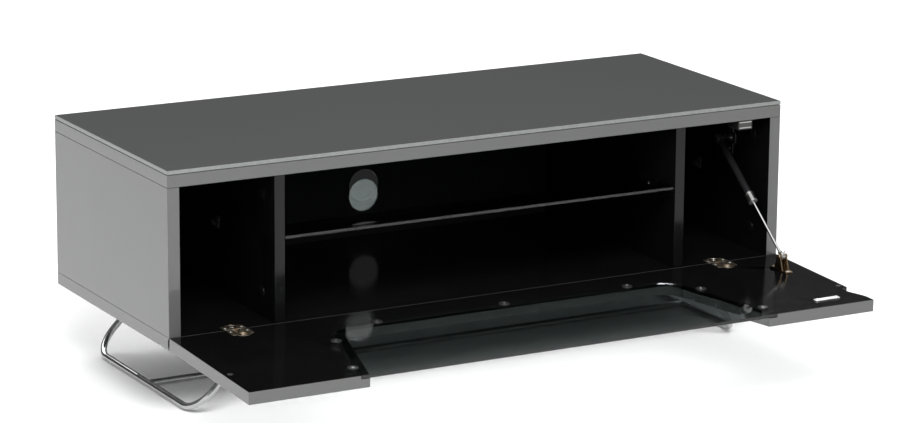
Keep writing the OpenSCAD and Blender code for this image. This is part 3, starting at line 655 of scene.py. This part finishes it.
# The flap board's black places, for the level flap; out is the distance in front of the carcass
REBATE_FLOOR = FLAP_FACE - 5 * MM
REBATE_HALF_WIDTH = 360 * MM
REBATE_OUT = (20 * MM, 253.3 * MM)
PULL_DEPTH = 13 * MM
PULL_OUT = (180 * MM, 245 * MM)
GREY_RIM = 4 * MM                       # black starts this far above the outer face


def flap_board():
    """Grey outside; black on the inner face, in the finger pull and on the walls of the rebate."""
    to_level = FLAP_REST.inverted()

    def choose(centre, normal):
        level, up = to_level @ centre, (to_level.to_3x3() @ normal).z
        out = FRONT - level.y
        upright = abs(up) < 0.5
        inner_face = up > FACING and level.z > UNDERSIDE + GREY_RIM
        in_pull = (upright and PULL_OUT[0] < out < PULL_OUT[1]
                   and HALF_WIDTH - PULL_DEPTH < level.x < HALF_WIDTH - 0.3 * MM)
        rebate_wall = (upright and REBATE_OUT[0] < out < REBATE_OUT[1]
                       and level.z > REBATE_FLOOR + 0.5 * MM and abs(level.x) < REBATE_HALF_WIDTH)
        return INSIDE if inner_face or in_pull or rebate_wall else OUTSIDE

    dressed("flap_board", "flap", EDGE, (grey_lacquer, black_lacquer), choose)


carcass_board("top_panel", Vector((0, 0, -1)))
carcass_board("bottom_panel", Vector((0, 0, 1)))
carcass_board("side_panel_left", Vector((1, 0, 0)))
carcass_board("side_panel_right", Vector((-1, 0, 0)))
plain_board("divider_left", black_lacquer, EDGE)
plain_board("divider_right", black_lacquer, EDGE)
plain_board("back_panel", fibre_board, 0.4 * MM)
top_sheet()
shelf_sheet()
flap_board()
dressed("flap_glass", "flap", 0.5 * MM, (smoked_glass,))


# ---------------------------------------------------------------------------
# Legs
# ---------------------------------------------------------------------------

LEG_LEAN = math.radians(44)             # of the uprights, inward from the vertical
LEG_BEND = 40 * MM
CUT_OFF = 8 * MM                        # extra length that is cut off under the plates
ROUND_BAR = 50                          # degrees; only the cut ends of a bar stay sharp


def legs():
    """Two loops of bent round bar, cut off flat under their plates, and the bar between them."""
    bar_low, bar_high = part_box("cross_bar")
    diameter = bar_high.z - bar_low.z
    rail_z = (bar_low.z + bar_high.z) / 2
    plate_under = solids("leg_plates")[0][0].z
    top_z = UNDERSIDE + CUT_OFF
    for side, node in ((-1, "leg_left"), (1, "leg_right")):
        low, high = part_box(node)
        rail_x = side * bar_high.x
        front_y, back_y = low.y + diameter / 2, high.y - diameter / 2
        top_x = rail_x - side * (top_z - rail_z) * math.tan(LEG_LEAN)
        path = [(top_x, front_y, top_z), (rail_x, front_y, rail_z), (rail_x, back_y, rail_z),
                (top_x, back_y, top_z)]
        piece = bar(node + "_bar", bend(path, LEG_BEND), diameter, chrome)
        bm = bmesh.new()
        bm.from_mesh(piece.data)
        cut = bmesh.ops.bisect_plane(bm, geom=bm.verts[:] + bm.edges[:] + bm.faces[:],
                                     plane_co=(0, 0, plate_under), plane_no=(0, 0, 1), clear_outer=True)
        rim = [e for e in cut["geom_cut"] if isinstance(e, bmesh.types.BMEdge)]
        bmesh.ops.holes_fill(bm, edges=rim, sides=0)
        bmesh.ops.recalc_face_normals(bm, faces=bm.faces)
        bm.to_mesh(piece.data)
        bm.free()
        smooth(piece, ROUND_BAR)
        hand_over(piece, "carcass", node)
    y = (bar_low.y + bar_high.y) / 2
    cross = bar("cross_bar_bar", [(bar_low.x, y, rail_z), (bar_high.x, y, rail_z)], diameter, chrome)
    smooth(cross, ROUND_BAR)
    hand_over(cross, "carcass", "cross_bar")


legs()
dressed("leg_plates", "carcass", 0.5 * MM, (chrome,))
dressed("leg_glides", "carcass", 0.3 * MM, (clear_rubber,))


# ---------------------------------------------------------------------------
# Hinges, stay, catch and small fittings
# ---------------------------------------------------------------------------

for side in ("left", "right"):
    dressed("hinge_base_" + side, "carcass", 0.35 * MM, (zinc,))
    dressed("hinge_arm_" + side, "flap", 0.35 * MM, (zinc,))
dressed("hinge_pins", "carcass", 0.3 * MM, (bright_steel,))
dressed("stay_upper_bracket", "carcass", 0.35 * MM, (enamel,))
dressed("stay_lower_bracket", "flap", 0.3 * MM, (bronze,))
dressed("catch_body", "carcass", 0.3 * MM, (black_plastic,))
dressed("catch_poles", "carcass", 0.2 * MM, (steel,))
dressed("cable_clips", "carcass", 0.4 * MM, (dark_plastic,))
dressed("shelf_supports", "carcass", 0.3 * MM, (bright_steel,))
dressed("cam_covers", "carcass", 0.2 * MM, (cover_plastic,))
dressed("glass_clips", "flap", 0.3 * MM, (dark_plastic,))
dressed("striker", "flap", 0.45 * MM, (screw_steel,))
dressed("stay_cylinder", "stay_tube", 0.4 * MM, (enamel,))
dressed("stay_sleeve", "stay_tube", 0.3 * MM, (steel,))
dressed("stay_top_socket", "stay_tube", 0.4 * MM, (black_plastic,))
dressed("stay_rod", "stay_plunger", 0.2 * MM, (bright_steel,))
dressed("stay_end_fitting", "stay_plunger", 0.4 * MM, (steel,))
dressed("stay_end_pin", "stay_plunger", 0.3 * MM, (steel,))


SCREW_SIDES = 28
SCREW_EDGE = 30                         # degrees; sharper edges of a screw stay sharp


def screw_bm(radius, head, shank, length, pan):
    """A cross-recessed screw hanging from the origin, with a pan head or a raised countersunk one."""
    bm = bmesh.new()
    if pan:
        steps = [(0.78 * radius, 0), (0.94 * radius, -0.22 * head), (radius, -0.5 * head),
                 (radius, -head), (shank, -head)]
    else:
        steps = [(0.80 * radius, 0), (0.95 * radius, -0.05 * radius), (radius, -0.14 * radius),
                 (shank, -head)]
    steps += [(shank, -0.92 * length), (0.3 * shank, -length)]
    angles = [2 * math.pi * k / SCREW_SIDES for k in range(SCREW_SIDES)]
    rings = [[bm.verts.new((r * math.cos(t), r * math.sin(t), z)) for t in angles] for r, z in steps]
    for upper, lower in zip(rings, rings[1:]):
        for k in range(SCREW_SIDES):
            bm.faces.new((upper[k], upper[k - 1], lower[k - 1], lower[k]))
    bm.faces.new(rings[-1])
    arm, half = 0.56 * radius, 0.12 * radius
    outline = [(arm, half), (half, half), (half, arm), (-half, arm), (-half, half), (-arm, half),
               (-arm, -half), (-half, -half), (-half, -arm), (half, -arm), (half, -half), (arm, -half)]
    mouth = [bm.verts.new((x, y, 0)) for x, y in outline]
    pit = [bm.verts.new((0.75 * x, 0.75 * y, -0.45 * head)) for x, y in outline]
    for k in range(len(outline)):
        bm.faces.new((mouth[k], mouth[k - 1], pit[k - 1], pit[k]))
    bm.faces.new(pit)
    rim = [bm.edges.get((loop[k - 1], loop[k])) or bm.edges.new((loop[k - 1], loop[k]))
           for loop in (rings[0], mouth) for k in range(len(loop))]
    bmesh.ops.triangle_fill(bm, use_beauty=True, edges=rim, normal=(0, 0, 1))
    bmesh.ops.recalc_face_normals(bm, faces=bm.faces)
    return bm


# How far a screw happens to be turned in, in radians
FIRST_TURN, TURN_STEP = 0.7, 1.3
PAN_HEAD = 1.4 * MM


def screws(node, body, heading, material, level=None, pan=False):
    """The node's screws, one Geometry Nodes set for each size, joined into one piece."""
    axis = max(range(3), key=lambda i: abs(heading[i]))
    across = [i for i in range(3) if i != axis]
    sets = {}
    for k, (low, high) in enumerate(solids(node, level)):
        top = (low + high) / 2
        top[axis] = high[axis] if heading[axis] > 0 else low[axis]
        width = min(high[i] - low[i] for i in across)
        length = high[axis] - low[axis]
        pointing = heading
        if level:
            top = level @ top
            pointing = level.to_3x3() @ heading
        turn = FIRST_TURN + TURN_STEP * k
        sets.setdefault((round(width, 4), round(length, 4)), []).append((top, pointing, turn))
    whole = bmesh.new()
    for (width, length), places in sets.items():
        head = PAN_HEAD if pan else 0.28 * width
        pattern = screw_bm(width / 2, head, 0.225 * width, length, pan)
        part = fixings(node + "_set", pattern, places, material)
        whole.from_mesh(part.data)
        bpy.data.objects.remove(part)
    piece = new_piece(node + "_piece", whole, material)
    smooth(piece, SCREW_EDGE)
    hand_over(piece, body, node)


UP, DOWN, LEFTWARD = Vector((0, 0, 1)), Vector((0, 0, -1)), Vector((-1, 0, 0))
screws("leg_screws", "carcass", DOWN, steel)
screws("catch_screws", "carcass", DOWN, steel)
screws("hinge_base_screws", "carcass", UP, screw_steel)
screws("stay_upper_screws", "carcass", LEFTWARD, steel)
screws("hinge_arm_screws", "flap", UP, screw_steel, FLAP_REST)
screws("stay_lower_screws", "flap", UP, screw_steel, FLAP_REST)
screws("glass_clip_screws", "flap", UP, steel, FLAP_REST)
screws("striker_screws", "flap", UP, screw_steel, FLAP_REST, pan=True)

# Nodes that keep their own shape
KEPT = {
    black_rubber: ("flap_bumpers",),
    bond_tape: ("glass_bond_strips",),
    zinc: ("cam_locks",),
    steel: ("cam_bolts", "stay_piston"),
    beech: ("dowels",),
    ferrite: ("catch_magnet",),
}
for material, nodes in KEPT.items():
    for node in nodes:
        mesh = frame["nodes"][node].data
        mesh.materials.clear()
        mesh.materials.append(material)


# ---------------------------------------------------------------------------
# The open flap throws no shadow from the front light, so the floor under it stays white
# ---------------------------------------------------------------------------

lit_through = bpy.data.collections.new("lit through")
for piece in flap_pieces:
    lit_through.objects.link(piece)
for entry in lit_through.collection_objects:
    entry.light_linking.link_state = "EXCLUDE"
front_light.light_linking.blocker_collection = lit_through
